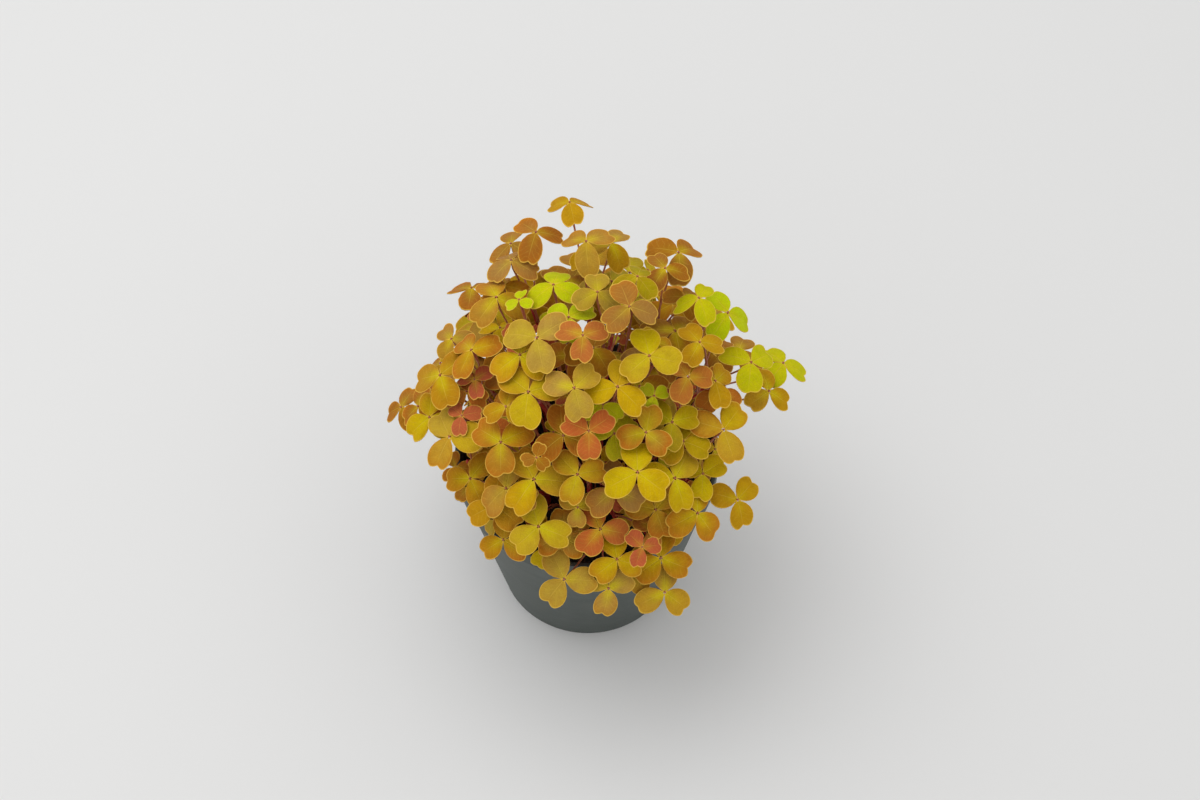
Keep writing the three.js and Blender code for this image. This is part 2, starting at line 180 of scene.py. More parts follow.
class SorrelLeafSettings(bpy.types.PropertyGroup):
    thickness: millimetres("Thickness", "Thickness of a blade", 0.28)
    half_angle: FloatProperty(
        name="Half angle",
        description="From a leaflet's midrib to its side at the base",
        default=math.radians(57),
        subtype="ANGLE",
    )
    fullness: share("Fullness", "Lower for broader shoulders, higher for a narrower leaflet", 0.72)
    lobes: share("Lobes", "How far a lobe reaches, as a share of the leaflet", 1.04)
    notch: share("Notch", "Depth of the notch, as a share of the leaflet", 0.14)
    crease: share("Crease", "How steeply the halves rise from the midrib", 0.12)
    young_crease: share("Young crease", "The same on a leaf that is still opening", 0.5)
    wave: share("Wave", "Height of the waves in the margin", 0.02)
    turn_down: share("Turn down", "How far the margin turns down", 0.035)
    # The pale line round a leaflet is partly the pale hairs along its margin and partly a painted highlight
    # where the edge catches the light.
    margin: millimetres("Margin", "Width of the pale line round a leaflet", 0.5)
    roll: share("Roll", "How far a leaflet may roll about its midrib", 0.12)
    mixture: share("Mixture", "How far the leaflets of one leaf differ in colour", 0.2)
    fresh_side: share("Fresh side", "How much fresher the colours are towards +X", 0.2)


class SorrelYoungSettings(bpy.types.PropertyGroup):
    buds: IntProperty(name="Buds", description="Places under the canopy where one may open", default=9000)
    shortest: millimetres("Shortest", "Length of the smallest leaflet", 5.5)
    longest: millimetres("Longest", "Length of the largest leaflet", 10.5)
    spread: millimetres("Spread", "How far from the pot's axis one may open in front", 52)
    back_spread: millimetres("Back spread", "How far from the pot's axis one may open behind", 68)
    elbow_room: millimetres("Elbow room", "How near to another leaf one may open", 2.5)


class SorrelStemSettings(bpy.types.PropertyGroup):
    stem_radius: millimetres("Stem radius", "Radius of a main stem at the soil", 1.1)
    tip_radius: millimetres("Tip radius", "Radius of a main stem at its tip", 0.75)
    petiole_radius: millimetres("Petiole radius", "Radius of a leaf's stalk", 0.36)
    joint_radius: millimetres("Joint radius", "Radius of the swelling under a leaf", 0.6)
    stem: colour("Stem", "The red of the main stems", 0.44, 0.035, 0.025)
    petiole: colour("Petiole", "The leaf stalks", 0.50, 0.17, 0.08)
    joint: colour("Joint", "The swelling under a leaf", 0.46, 0.14, 0.07)


class SorrelToneSettings(bpy.types.PropertyGroup):
    gold: colour("Gold", "The commonest leaves", 0.68, 0.41, 0.002)
    ochre: colour("Ochre", "Duller golden leaves", 0.53, 0.28, 0.006)
    # Bronze is partly the real brown of some leaves and partly painted shade: it is also given to leaves that
    # lie in the shade at the back and under the canopy.
    bronze: colour("Bronze", "Brown leaves at the back and in the shade", 0.35, 0.115, 0.012)
    olive: colour("Olive", "Leaves that have kept some green", 0.38, 0.32, 0.004)
    lime: colour("Lime", "New leaves that are still green", 0.58, 0.70, 0.002)
    coral: colour("Coral", "Leaves that have turned orange-red", 0.60, 0.13, 0.030)
    rose: colour("Rose", "Small leaves that have turned pinkish red", 0.60, 0.115, 0.055)
    flush: colour("Flush", "What spreads over a leaf as it turns", 0.56, 0.19, 0.015)
    faded: colour("Faded", "The tan that some leaflets fade to", 0.46, 0.28, 0.075)
    glow: colour("Glow", "The streak along the base of a midrib", 0.76, 0.68, 0.006)
    # Partly the pale hairs along a leaflet's margin and partly a painted highlight where its edge catches the
    # light; the same colour also paints the pale veins and midrib.
    margin: colour("Margin", "The pale line round a leaflet", 0.88, 0.58, 0.09)
    under: colour("Underside", "The wine-brown underside", 0.24, 0.055, 0.02)


class SorrelStageSettings(bpy.types.PropertyGroup):
    floor: colour("Floor", "The plain floor", 0.80, 0.80, 0.80)
    sky: share("Sky", "Strength of the light from all round", 0.74)
    window: FloatProperty(
        name="Window", description="Power of the large soft light", default=5.5, unit="POWER"
    )
    distance: millimetres("Camera distance", "From the camera to the pot's rim", 900)
    elevation: FloatProperty(
        name="Elevation",
        description="The camera's angle above the horizon",
        default=math.radians(58),
        subtype="ANGLE",
    )


class SorrelSettings(bpy.types.PropertyGroup):
    pot: PointerProperty(type=SorrelPotSettings)
    soil: PointerProperty(type=SorrelSoilSettings)
    leaf: PointerProperty(type=SorrelLeafSettings)
    young: PointerProperty(type=SorrelYoungSettings)
    stem: PointerProperty(type=SorrelStemSettings)
    tones: PointerProperty(type=SorrelToneSettings)
    stage: PointerProperty(type=SorrelStageSettings)


# ---------------------------------------------------------------- materials
# How fine the finishes' patterns are, in repeats a metre.
MOTTLE = 260
GRAIN = 2200
CELLS = 1500
VEIN_WANDER = 350
STALK_STREAKS = 500
STALK_GRAIN = 1800
FLOW_MARKS = 30
DUST_PATCHES = 45
DUST_SPECKS = 1400
PEAT_FIBRES = 700
PEAT_GRAIN = 2400
FLOOR_CLOUDS = 6
# The side veins of half a leaflet of length 1, and how far forward they slant.
SIDE_VEINS = 6
VEIN_SLANT = 0.7


class Value:
    """A number somewhere in a material, so that its maths reads as Python."""

    def __init__(self, finish, socket):
        self.finish = finish
        self.socket = socket

    def _math(self, operation, *values):
        return self.finish.node("ShaderNodeMath", {"operation": operation}, dict(enumerate(values)))

    def __add__(self, other):
        return self._math("ADD", self, other)

    __radd__ = __add__

    def __sub__(self, other):
        return self._math("SUBTRACT", self, other)

    def __rsub__(self, other):
        return self._math("SUBTRACT", other, self)

    def __mul__(self, other):
        return self._math("MULTIPLY", self, other)

    __rmul__ = __mul__

    def __abs__(self):
        return self._math("ABSOLUTE", self)

    def clamped(self):
        return self.finish.node("ShaderNodeClamp", {}, {0: self})

    def triangle(self):
        """0 at every whole number and 1 halfway between."""
        return self._math("PINGPONG", self, 0.5) * 2

    def between(self, low, high):
        """Rises smoothly from 0 at low to 1 at high."""
        return self.finish.node(
            "ShaderNodeMapRange", {"interpolation_type": "SMOOTHSTEP"}, {0: self, 1: low, 2: high}
        )


class Finish:
    """One material, whose nodes are all made by its node method."""

    def __init__(self, name, roughness, **constants):
        self.material = bpy.data.materials.new(name)
        self.material.use_nodes = True
        self.tree = self.material.node_tree
        self.shader = self.tree.nodes["Principled BSDF"]
        self.feed(self.shader.inputs["Roughness"], roughness)
        for socket, value in constants.items():
            self.feed(self.shader.inputs[socket.replace("_", " ")], value)

    def feed(self, socket, value):
        """Links a Value to the socket, or sets it to a plain number or colour."""
        if isinstance(value, Value):
            self.tree.links.new(value.socket, socket)
        elif socket.type == "RGBA":
            socket.default_value = (*value, 1)
        else:
            socket.default_value = value

    def node(self, kind, settings, inputs, output=0):
        """A new node's output, from its settings and the values of its sockets."""
        made = self.tree.nodes.new(kind)
        for name, value in settings.items():
            setattr(made, name, value)
        for socket, value in inputs.items():
            self.feed(made.inputs[socket], value)
        return Value(self, made.outputs[output])

    def attribute(self, name):
        return self.node("ShaderNodeAttribute", {"attribute_name": name}, {}, "Fac")

    def coordinates(self):
        return self.node("ShaderNodeTexCoord", {}, {}, "Object")

    def noise(self, vector, scale, detail=2.0):
        inputs = {"Vector": vector, "Scale": scale, "Detail": detail}
        return self.node("ShaderNodeTexNoise", {}, inputs, "Fac")

    def mix(self, amount, first, second):
        """From the first colour to the second."""
        inputs = {0: amount, 6: first, 7: second}
        return self.node("ShaderNodeMix", {"data_type": "RGBA"}, inputs, 2)

    def paint(self, base_colour):
        self.feed(self.shader.inputs["Base Color"], base_colour)

    def gloss(self, roughness):
        self.feed(self.shader.inputs["Roughness"], roughness)

    def relief(self, height, distance):
        bump = self.node("ShaderNodeBump", {}, {"Height": height, "Distance": distance})
        self.feed(self.shader.inputs["Normal"], bump)


def darker(rgb, amount):
    """The colour at that share of its light."""
    return tuple(channel * amount for channel in rgb)


# The tone that single leaves of each tone lean towards, and how far.
DRIFT = {
    "gold": ("lime", 0.3),
    "ochre": ("gold", 0.55),
    "bronze": ("ochre", 0.4),
    "olive": ("gold", 0.5),
    "lime": ("gold", 0.35),
    "coral": ("ochre", 0.35),
    "rose": ("coral", 0.4),
}
# How far the leaves of a tone flush and fade as they age, where that isn't all the way.
RIPENESS = {"lime": 0.2, "coral": 0.35, "rose": 0.2}


def leaf_net(finish, spot):
    """The finest veins, which run between the cells."""
    cells = finish.node(
        "ShaderNodeTexVoronoi", {"feature": "DISTANCE_TO_EDGE"}, {"Vector": spot, "Scale": CELLS}
    )
    return 1 - cells.between(0.02, 0.2)


def leaf_veins(finish, spot, along, side):
    """The side veins, which leave the midrib slanting forwards and wander a little."""
    wander = (finish.noise(spot, VEIN_WANDER) - 0.5) * 1.6
    veins = ((along - side * VEIN_SLANT) * SIDE_VEINS + wander).triangle().between(0.75, 1.0)
    return veins * side.between(0.01, 0.08)


def leaf_flush(finish, along, side, edge, mottle, ripeness):
    """Spreads from the tip of a leaflet that turns, and lies faintly inside the margin of every one."""
    turning = finish.attribute("flush")
    spread = turning * (along * 0.9 + side * 0.7 + mottle * 0.5 - 0.3)
    return (spread + edge.between(-5, 0.8) * (turning * 0.3 + ripeness * 0.12)).clamped()


def leaf_glow(finish, along, side):
    """The bright streak along the base of a midrib."""
    streak = (1 - along.between(0.05, 0.8)) * (1 - side.between(0.0, 0.28))
    return (streak * finish.attribute("glow")).clamped()


def leaf_finish(tone, tones):
    """A blade: its tone, what has faded, flush, glow, mottling, veins, pale margin, which is partly a painted
    highlight, and underside.
    """
    finish = Finish(f"blade_{tone}", 0.5, Specular_IOR_Level=0.04)
    main = getattr(tones, tone)
    neighbour, drift = DRIFT[tone]
    place = finish.node("ShaderNodeUVMap", {"uv_map": "blade"}, {})
    side = abs(finish.node("ShaderNodeSeparateXYZ", {}, {0: place}, "X") - 0.5)
    along = finish.node("ShaderNodeSeparateXYZ", {}, {0: place}, "Y")
    edge = finish.attribute("edge")
    spot = finish.coordinates()
    mottle = finish.noise(spot, MOTTLE, 3)
    grain = finish.noise(spot, GRAIN)
    net = leaf_net(finish, spot)
    veins = leaf_veins(finish, spot, along, side)
    midrib = (1 - side.between(0.0, 0.022)) * (1 - along.between(0.5, 0.95))
    flush = leaf_flush(finish, along, side, edge, mottle, RIPENESS.get(tone, 1))

    blade = finish.mix(finish.attribute("tint") * drift, main, getattr(tones, neighbour))
    blade = finish.mix(finish.attribute("faded") * (mottle + 0.3).clamped(), blade, tones.faded)
    blade = finish.mix(flush, blade, tones.flush)
    blade = finish.mix(leaf_glow(finish, along, side) * 0.75, blade, tones.glow)
    blade = finish.mix(mottle.between(0.4, 0.75) * 0.3, blade, darker(main, 0.6))
    blade = finish.mix(net * 0.1 + grain.between(0.45, 0.7) * 0.16, blade, darker(tones.flush, 0.6))
    blade = finish.mix(veins * 0.12 + midrib * 0.35, blade, tones.margin)
    # The pale line round a leaflet: partly its pale marginal hairs, and partly a painted highlight along the
    # edge.
    blade = finish.mix(edge.between(0.0, 0.8) * 0.75, blade, tones.margin)
    under = finish.mix(mottle * 0.5, tones.under, darker(main, 0.7))
    finish.paint(finish.mix(finish.attribute("under").between(0.4, 0.6), blade, under))
    finish.gloss(0.5 + mottle * 0.2)
    finish.relief(veins * -0.3 + midrib * -0.7 + net * -0.3 + grain * 0.2 + mottle * 0.6, 0.14 * MM)
    return finish.material


def stem_finish(stems):
    """Main stems are red, petioles pinker, and the swelling under a leaf is palest."""
    finish = Finish("stalks", 0.4, Specular_IOR_Level=0.35)
    spot = finish.coordinates()
    slim = finish.attribute("slim")
    body = finish.mix(slim.between(0.0, 0.5), stems.stem, stems.petiole)
    body = finish.mix(slim.between(0.5, 1.0), body, stems.joint)
    streaks = finish.noise(spot, STALK_STREAKS).between(0.45, 0.75)
    finish.paint(finish.mix(streaks * 0.5, body, darker(stems.stem, 0.7)))
    finish.relief(finish.noise(spot, STALK_GRAIN), 0.05 * MM)
    return finish.material


def foliage_materials(settings, tone):
    """A blade's material and the stalks', made when first asked for."""
    made = bpy.data.materials
    blade = made.get(f"blade_{tone}") or leaf_finish(tone, settings.tones)
    return [blade, made.get("stalks") or stem_finish(settings.stem)]


def pot_finish(pot):
    """Moulded plastic: faint flow marks, dust and a few dried splashes."""
    finish = Finish("pot_plastic", 0.5, Specular_IOR_Level=0.35)
    spot = finish.coordinates()
    flattened = finish.node("ShaderNodeMapping", {}, {"Vector": spot, "Scale": (1, 1, 9)})
    flow = finish.noise(flattened, FLOW_MARKS, 3)
    patches = finish.noise(spot, DUST_PATCHES, 4)
    specks = finish.noise(spot, DUST_SPECKS)
    dust = patches.between(0.5, 0.8) * 0.22 + specks.between(0.66, 0.72) * 0.2
    plastic = finish.mix(flow, darker(pot.plastic, 0.82), darker(pot.plastic, 1.18))
    finish.paint(finish.mix(dust, plastic, pot.dust))
    finish.gloss(0.42 + patches * 0.25)
    finish.relief(specks * 0.6 + flow * 0.4, 0.06 * MM)
    return finish.material


def soil_finish(soil):
    """Moist peat, paler where it stands up and dries."""
    finish = Finish("peat", 0.9)
    spot = finish.coordinates()
    fibre = finish.noise(spot, PEAT_FIBRES, 5)
    finish.paint(finish.mix(fibre.between(0.4, 0.75), soil.damp, soil.dry))
    finish.relief(fibre + finish.noise(spot, PEAT_GRAIN, 3) * 0.5, 0.6 * MM)
    return finish.material


def floor_finish(stage):
    """Plain, with faint clouds."""
    finish = Finish("floor", 0.6)
    cloud = finish.noise(finish.coordinates(), FLOOR_CLOUDS, 3)
    finish.paint(finish.mix(cloud * 0.5, stage.floor, darker(stage.floor, 0.97)))
    return finish.material


# ---------------------------------------------------------------- shared mesh steps
def shade(mesh, smooth_below):
    """Smooth, but for the edges that turn by more than that many degrees."""
    mesh.shade_smooth()
    mesh.set_sharp_from_angle(angle=math.radians(smooth_below))


def finished(name, bm, materials, nodes=(), slot=None, smooth_below=40):
    """Makes the bmesh a piece of the object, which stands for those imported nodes."""
    mesh = bpy.data.meshes.new(name)
    bm.to_mesh(mesh)
    bm.free()
    for material in materials:
        mesh.materials.append(material)
    shade(mesh, smooth_below)
    piece = bpy.data.objects.new(name, mesh)
    bpy.context.scene.collection.objects.link(piece)
    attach(piece, "root")
    if nodes:
        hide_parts(*nodes)
    return piece


def turned(bm, profile, steps):
    """A closed body of revolution, from a profile of (radius, height) that starts and ends on the axis."""
    corners = [bm.verts.new((radius, 0, height)) for radius, height in profile]
    sides = [bm.edges.new(pair) for pair in zip(corners, corners[1:])]
    bmesh.ops.spin(
        bm, geom=corners + sides, axis=UP, angle=math.tau, steps=steps, use_merge=True
    )
    bmesh.ops.remove_doubles(bm, verts=bm.verts, dist=SAME_POINT)
    bmesh.ops.recalc_face_normals(bm, faces=bm.faces)


def add_stalk(bm, points, radii, slim, sides):
    """A closed stalk through the points, made by extruding its end face along them."""
    steps = [(after - before).normalized() for before, after in zip(points, points[1:])]
    turn = UP.rotation_difference(steps[0])
    place = Matrix.Translation(points[0]) @ turn.to_matrix().to_4x4() @ Matrix.Scale(radii[0], 4)
    ring = bmesh.ops.create_circle(bm, cap_ends=True, radius=1, segments=sides, matrix=place)["verts"]
    end = ring[0].link_faces[0]
    slimness = bm.verts.layers.float["slim"]
    made = []
    for i, point in enumerate(points):
        if i > 0:
            ahead = (steps[i - 1] + steps[min(i, len(steps) - 1)]).normalized()
            turn = (turn @ UP).rotation_difference(ahead) @ turn
            step = Matrix.Translation(point) @ turn.to_matrix().to_4x4() @ Matrix.Scale(radii[i], 4)
            grown = bmesh.ops.extrude_face_region(bm, geom=[end])["geom"]
            ring = [part for part in grown if isinstance(part, bmesh.types.BMVert)]
            end = next(part for part in grown if isinstance(part, bmesh.types.BMFace))
            bmesh.ops.transform(bm, matrix=step @ place.inverted(), verts=ring)
            place = step
        for vert in ring:
            vert[slimness] = slim[i]
        made += ring
    faces = list({face for vert in made for face in vert.link_faces})
    bmesh.ops.recalc_face_normals(bm, faces=faces)
    for face in faces:
        face.material_index = 1


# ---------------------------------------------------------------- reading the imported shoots
class Leaf:
    """A leaf: its hub, the way it faces, its leaflets' length, and the heading and sag of each."""

    def __init__(self, hub, up, length, headings, sags):
        self.hub = hub
        self.up = up
        self.length = length
        self.headings = headings
        self.sags = sags

    @classmethod
    def packed(cls, hub_vert):
        """Reads a leaf back from the spokes round its packed hub."""
        hub = hub_vert.co
        facing = sum((face.normal for face in hub_vert.link_faces), Vector()).normalized()
        aside = facing.orthogonal()
        ahead = facing.cross(aside)
        spokes = [edge.other_vert(hub_vert).co - hub for edge in hub_vert.link_edges]
        spokes.sort(key=lambda spoke: math.atan2(spoke.dot(ahead), spoke.dot(aside)))
        step = SPOKES // LEAFLETS
        first = spokes.index(min(spokes, key=lambda spoke: spoke.length)) % step
        valleys = spokes[first::step]
        tips = spokes[(first + step // 2) % step :: step]
        up = (valleys[1] - valleys[0]).cross(valleys[2] - valleys[0]).normalized()
        drops = [-tip.dot(up) for tip in tips]
        reaches = [tip + up * drop for tip, drop in zip(tips, drops)]
        length = sum(reach.length for reach in reaches) / LEAFLETS / NOTCH_AT
        headings = [reach.normalized() for reach in reaches]
        sags = [drop / length / NOTCH_AT**SAG_POWER for drop in drops]
        return cls(hub - up * PACKED_THICKNESS / 2, up, length, headings, sags)

    @classmethod
    def opened(cls, hub, up, length, sag, turn):
        """A new leaf, whose leaflets stand evenly round its hub."""
        aside = up.orthogonal().normalized()
        turns = [Matrix.Rotation(turn + math.tau * k / LEAFLETS, 3, up) for k in range(LEAFLETS)]
        return cls(hub, up, length, [turn @ aside for turn in turns], [sag] * LEAFLETS)


def read_leaves(node):
    """The leaves of a packed shoot, from the highest down."""
    bm = bmesh.new()
    bm.from_mesh(frame["nodes"][node].data)
    bmesh.ops.remove_doubles(bm, verts=bm.verts, dist=SAME_POINT)
    bm.normal_update()
    leaves = [Leaf.packed(vert) for vert in bm.verts if len(vert.link_edges) == SPOKES]
    bm.free()
    if not leaves:
        raise RuntimeError(f"no leaf was found in {node}")
    return sorted(leaves, key=lambda leaf: -leaf.hub.z)


# ---------------------------------------------------------------- leaves and stems
# A leaflet's grid: its columns lie closer to the midrib and its rows closer to the margin, and a share
# next to the hub stays open for the joint.
GROWN_GRID = (24, 4)
YOUNG_GRID = (12, 3)
TO_MIDRIB = 1.35
TO_MARGIN = 1.45
OPEN_SHARE = 0.06
# A leaflet's outline: how nearly its sides close at the hub, and how wide and pointed its notch is.
TO_HUB = 0.985
NOTCH_HALF_WIDTH = 0.24
NOTCH_POWER = 1.2
# The valley along its midrib is rounded this far. Its margin has this many waves a turn, and the waves and
# the turned-down margin grow by these powers of the way out.
MIDRIB_ROUNDING = 0.03
WAVES = 4
WAVE_POWER = 3
TURN_DOWN_POWER = 6
# How one leaflet differs from the next: ranges on a length of 1, or on a setting of the leaf.
BREADTH = (1.0, 1.15)
NOTCH_DEPTH = (0.7, 1.3)
NOTCH_ASIDE = (-0.12, 0.12)
LOPSIDED = (-0.07, 0.07)
BEND = (-0.07, 0.07)
CUP = (-0.18, 0.05)
CREASE = (0.6, 1.3)
# Few leaves have flushed or faded far, as a random share is raised to this power.
TURNED_POWER = 3
# A leaf smaller than this share of its shoot's longest is still folded, by so much for what it lacks.
OPEN_FROM = 0.82
FOLDING_RATE = 2
LEAF_LAYERS = ("edge", "tint", "flush", "faded", "glow", "under", "slim")

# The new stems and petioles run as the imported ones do: a stem stands straight until it is clear of the
# soil and bends this share of the way up, and its tip lies under the middle of its leaves.
STEM_FOOT = 1 * MM
STEM_CLEAR = 1.5 * MM
STEM_BEND = 0.55
ONE_BEND = 2 / 3
TIP_SHARE = 0.84
TIP_BELOW = 30 * MM
TIP_LOWEST = 98 * MM
# The highest petiole leaves the stem just below its tip, and the others follow one below another. Each
# rises and arrives for a share of its way.
PETIOLE_BELOW_TIP = 2 * MM
PETIOLE_SPACING = 4.5 * MM
PETIOLE_RISE = 0.3
PETIOLE_ARRIVAL = 0.42
LONGEST_ARRIVAL = 11 * MM
# A petiole's foot and neck are this much thicker than the rest, and its joint narrows to this share.
PETIOLE_FOOT = 1.3
PETIOLE_NECK = 1.1
JOINT_END = 0.6
# The stalks' meshes, and what the slim layer tells their finish.
STEM_STEPS = 9
STEM_SIDES = 8
STEM_SLIM = 0.0
PETIOLE_STEPS = 9
PETIOLE_SIDES = 6
PETIOLE_SLIM = 0.5
JOINT_SLIM = 1.0


def new_foliage():
    """An empty bmesh with the layers that the leaf and stem finishes read."""
    bm = bmesh.new()
    bm.loops.layers.uv.new("blade")
    for name in LEAF_LAYERS:
        bm.verts.layers.float.new(name)
    return bm


class Leaflet:
    """The form of one obcordate leaflet of length 1, which differs a little from every other."""

    def __init__(self, settings, sag, folding, rng):
        self.settings = settings
        self.sag = sag
        self.breadth = rng.uniform(*BREADTH)
        self.notch = settings.notch * rng.uniform(*NOTCH_DEPTH)
        self.notch_at = rng.uniform(*NOTCH_ASIDE)
        self.lopsided = rng.uniform(*LOPSIDED)
        self.bend = rng.uniform(*BEND)
        self.roll = settings.roll * rng.uniform(-1, 1)
        self.cup = rng.uniform(*CUP)
        self.phase = rng.uniform(0, math.tau)
        self.crease = settings.crease * rng.uniform(*CREASE) + folding * settings.young_crease

    def reach(self, out):
        """From the hub to the margin, where out runs from -1 to 1 across the fan."""
        shoulders = math.cos(out * TO_HUB * math.pi / 2) ** self.settings.fullness
        lobes = self.settings.lobes * (1 + self.lopsided * out)
        notched = max(0, 1 - abs(out - self.notch_at) / NOTCH_HALF_WIDTH) ** NOTCH_POWER
        return shoulders * lobes - self.notch * notched

    def rise(self, across, along, row, angle):
        """How far a point stands over the hub: creased, rolled, cupped, sagging and waved."""
        creased = self.crease * (math.hypot(across, MIDRIB_ROUNDING) - MIDRIB_ROUNDING)
        bowl = self.roll * across + self.cup * across**2
        wave = self.settings.wave * math.sin(WAVES * angle + self.phase) * row**WAVE_POWER
        sagging = creased + bowl + wave - self.sag * along**SAG_POWER
        return sagging - self.settings.turn_down * row**TURN_DOWN_POWER


def add_leaflet(bm, leaf, heading, form, paint, fineness):
    """A grid gathered to a fan at the hub, in the leaflet's form.

    Its edge layer is 1 at the margin, and falls by 1 over each width of the pale line round it, which is
    partly the margin's pale hairs and partly a painted highlight where the edge catches the light.
    """
    side = heading.cross(leaf.up)
    layers = {name: bm.verts.layers.float[name] for name in LEAF_LAYERS}
    blade = bm.loops.layers.uv["blade"]
    columns, rows = fineness
    grid = bmesh.ops.create_grid(bm, x_segments=columns, y_segments=rows, size=1)["verts"]
    places = {}
    for vert in grid:
        out = math.copysign(abs(vert.co.x) ** TO_MIDRIB, vert.co.x)
        row = OPEN_SHARE + (1 - OPEN_SHARE) * (1 - (0.5 - vert.co.y / 2) ** TO_MARGIN)
        angle = form.settings.half_angle * out
        away = form.reach(out) * row
        along = away * math.cos(angle)
        across = away * math.sin(angle) * form.breadth
        rise = form.rise(across, along, row, angle)
        places[vert] = (0.5 + across, along)
        inwards = min(form.reach(out) - away, away * math.sin(form.settings.half_angle * (1 - abs(out))))
        vert[layers["edge"]] = 1 - inwards * leaf.length / form.settings.margin
        for name, value in paint.items():
            vert[layers[name]] = value
        bent = across + form.bend * along**2
        vert.co = leaf.hub + (heading * along + side * bent + leaf.up * rise) * leaf.length
    for face in {face for vert in grid for face in vert.link_faces}:
        for loop in face.loops:
            loop[blade].uv = places[loop.vert]


def add_blades(bm, leaves, tone, settings, folding_of, fineness, rng):
    """The blades of all those leaves, thickened together; folding_of says how folded each one is."""
    ripeness = RIPENESS.get(tone, 1)
    for leaf in leaves:
        fresh = ripeness * settings.fresh_side * leaf.hub.x / SOIL_BOX[1].x
        whole = {
            "tint": rng.random() + fresh,
            "flush": rng.random() ** TURNED_POWER * ripeness - fresh,
            "faded": rng.random() ** TURNED_POWER * ripeness - max(fresh, 0),
            "glow": rng.random(),
        }
        for heading, sag in zip(leaf.headings, leaf.sags):
            paint = {
                name: min(max(value + rng.gauss(0, settings.mixture * ripeness), 0), 1)
                for name, value in whole.items()
            }
            form = Leaflet(settings, sag, folding_of(leaf), rng)
            add_leaflet(bm, leaf, heading, form, paint, fineness)
    backs = bmesh.ops.solidify(bm, geom=list(bm.faces), thickness=settings.thickness)["geom"]
    under = bm.verts.layers.float["under"]
    for part in backs:
        if isinstance(part, bmesh.types.BMVert):
            part[under] = 1.0


def add_petiole(bm, root, leaf, stems):
    """The stalk from root straight up, over and into the leaf's hub, where it swells."""
    away = (leaf.hub - root).length
    leaves_root = root + UP * away * PETIOLE_RISE
    meets_leaf = leaf.hub - leaf.up * min(away * PETIOLE_ARRIVAL, LONGEST_ARRIVAL)
    end = leaf.hub + leaf.up * stems.petiole_radius
    points = interpolate_bezier(root, leaves_root, meets_leaf, end, PETIOLE_STEPS)
    thin, joint = stems.petiole_radius, stems.joint_radius
    middle = [thin] * (PETIOLE_STEPS - 4)
    radii = [thin * PETIOLE_FOOT, *middle, thin * PETIOLE_NECK, joint, joint * JOINT_END]
    slim = [PETIOLE_SLIM] * (PETIOLE_STEPS - 2) + [JOINT_SLIM] * 2
    add_stalk(bm, points, radii, slim, PETIOLE_SIDES)


def stem_line(node, leaves):
    """From the foot straight up out of the soil, then leaning out under the middle of the leaves."""
    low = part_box(node)[0].z
    corners = [vert.co for vert in frame["nodes"][node].data.vertices if vert.co.z < low + STEM_FOOT]
    foot = sum(corners, Vector()) / len(corners)
    middle = sum((leaf.hub for leaf in leaves), Vector()) / len(leaves)
    start = Vector((foot.x, foot.y, SOIL_BOX[1].z + STEM_CLEAR))
    tip = Vector((middle.x * TIP_SHARE, middle.y * TIP_SHARE, max(middle.z - TIP_BELOW, TIP_LOWEST)))
    bend = Vector((foot.x, foot.y, start.z + STEM_BEND * (tip.z - start.z)))
    handles = [end.lerp(bend, ONE_BEND) for end in (start, tip)]
    return [foot, *interpolate_bezier(start, *handles, tip, STEM_STEPS)]


def along_line(line, back):
    """The point at that distance back from the line's end."""
    for end, before in zip(reversed(line), reversed(line[:-1])):
        step = (end - before).length
        if back <= step:
            return end.lerp(before, back / step)
        back -= step
    return line[0]


def grow_shoot(node, settings):
    """A whole shoot: its blades, a petiole under each leaf, and the stem that carries them."""
    rng = random.Random(f"{SEED} {node}")
    leaves = read_leaves(node)
    longest = max(leaf.length for leaf in leaves)

    def folding_of(leaf):
        return FOLDING_RATE * max(0, OPEN_FROM - leaf.length / longest)

    slot = SLOT_OF[node]
    tone = slot.replace("leaf_", "")
    bm = new_foliage()
    add_blades(bm, leaves, tone, settings.leaf, folding_of, GROWN_GRID, rng)
    stems = settings.stem
    line = stem_line(node, leaves)
    taper = (stems.tip_radius - stems.stem_radius) / STEM_STEPS
    radii = [stems.stem_radius + taper * i for i in range(len(line))]
    add_stalk(bm, line, radii, [STEM_SLIM] * len(line), STEM_SIDES)
    for place, leaf in enumerate(leaves):
        root = along_line(line, PETIOLE_BELOW_TIP + PETIOLE_SPACING * place)
        add_petiole(bm, root, leaf, stems)
    finished(node.replace("shoot_", "leaves_"), bm, foliage_materials(settings, tone), [node], slot)


# ---------------------------------------------------------------- young leaves
# A young leaf's stalk leaves the soil this share of its hub's way out from the axis.
YOUNG_ROOT_SHARE = 0.5
YOUNG_ROOT_SUNK = 2 * MM
# How far its leaflets sag, and how much further if it is still folded.
YOUNG_SAG = (0.05, 0.35)
FOLDED_SAG = 0.5


def tree_of(pieces):
    """The faces of those pieces together, for rays and leaves to meet."""
    bm = bmesh.new()
    for piece in pieces:
        bm.from_mesh(piece.data)
    tree = BVHTree.FromBMesh(bm)
    bm.free()
    return tree


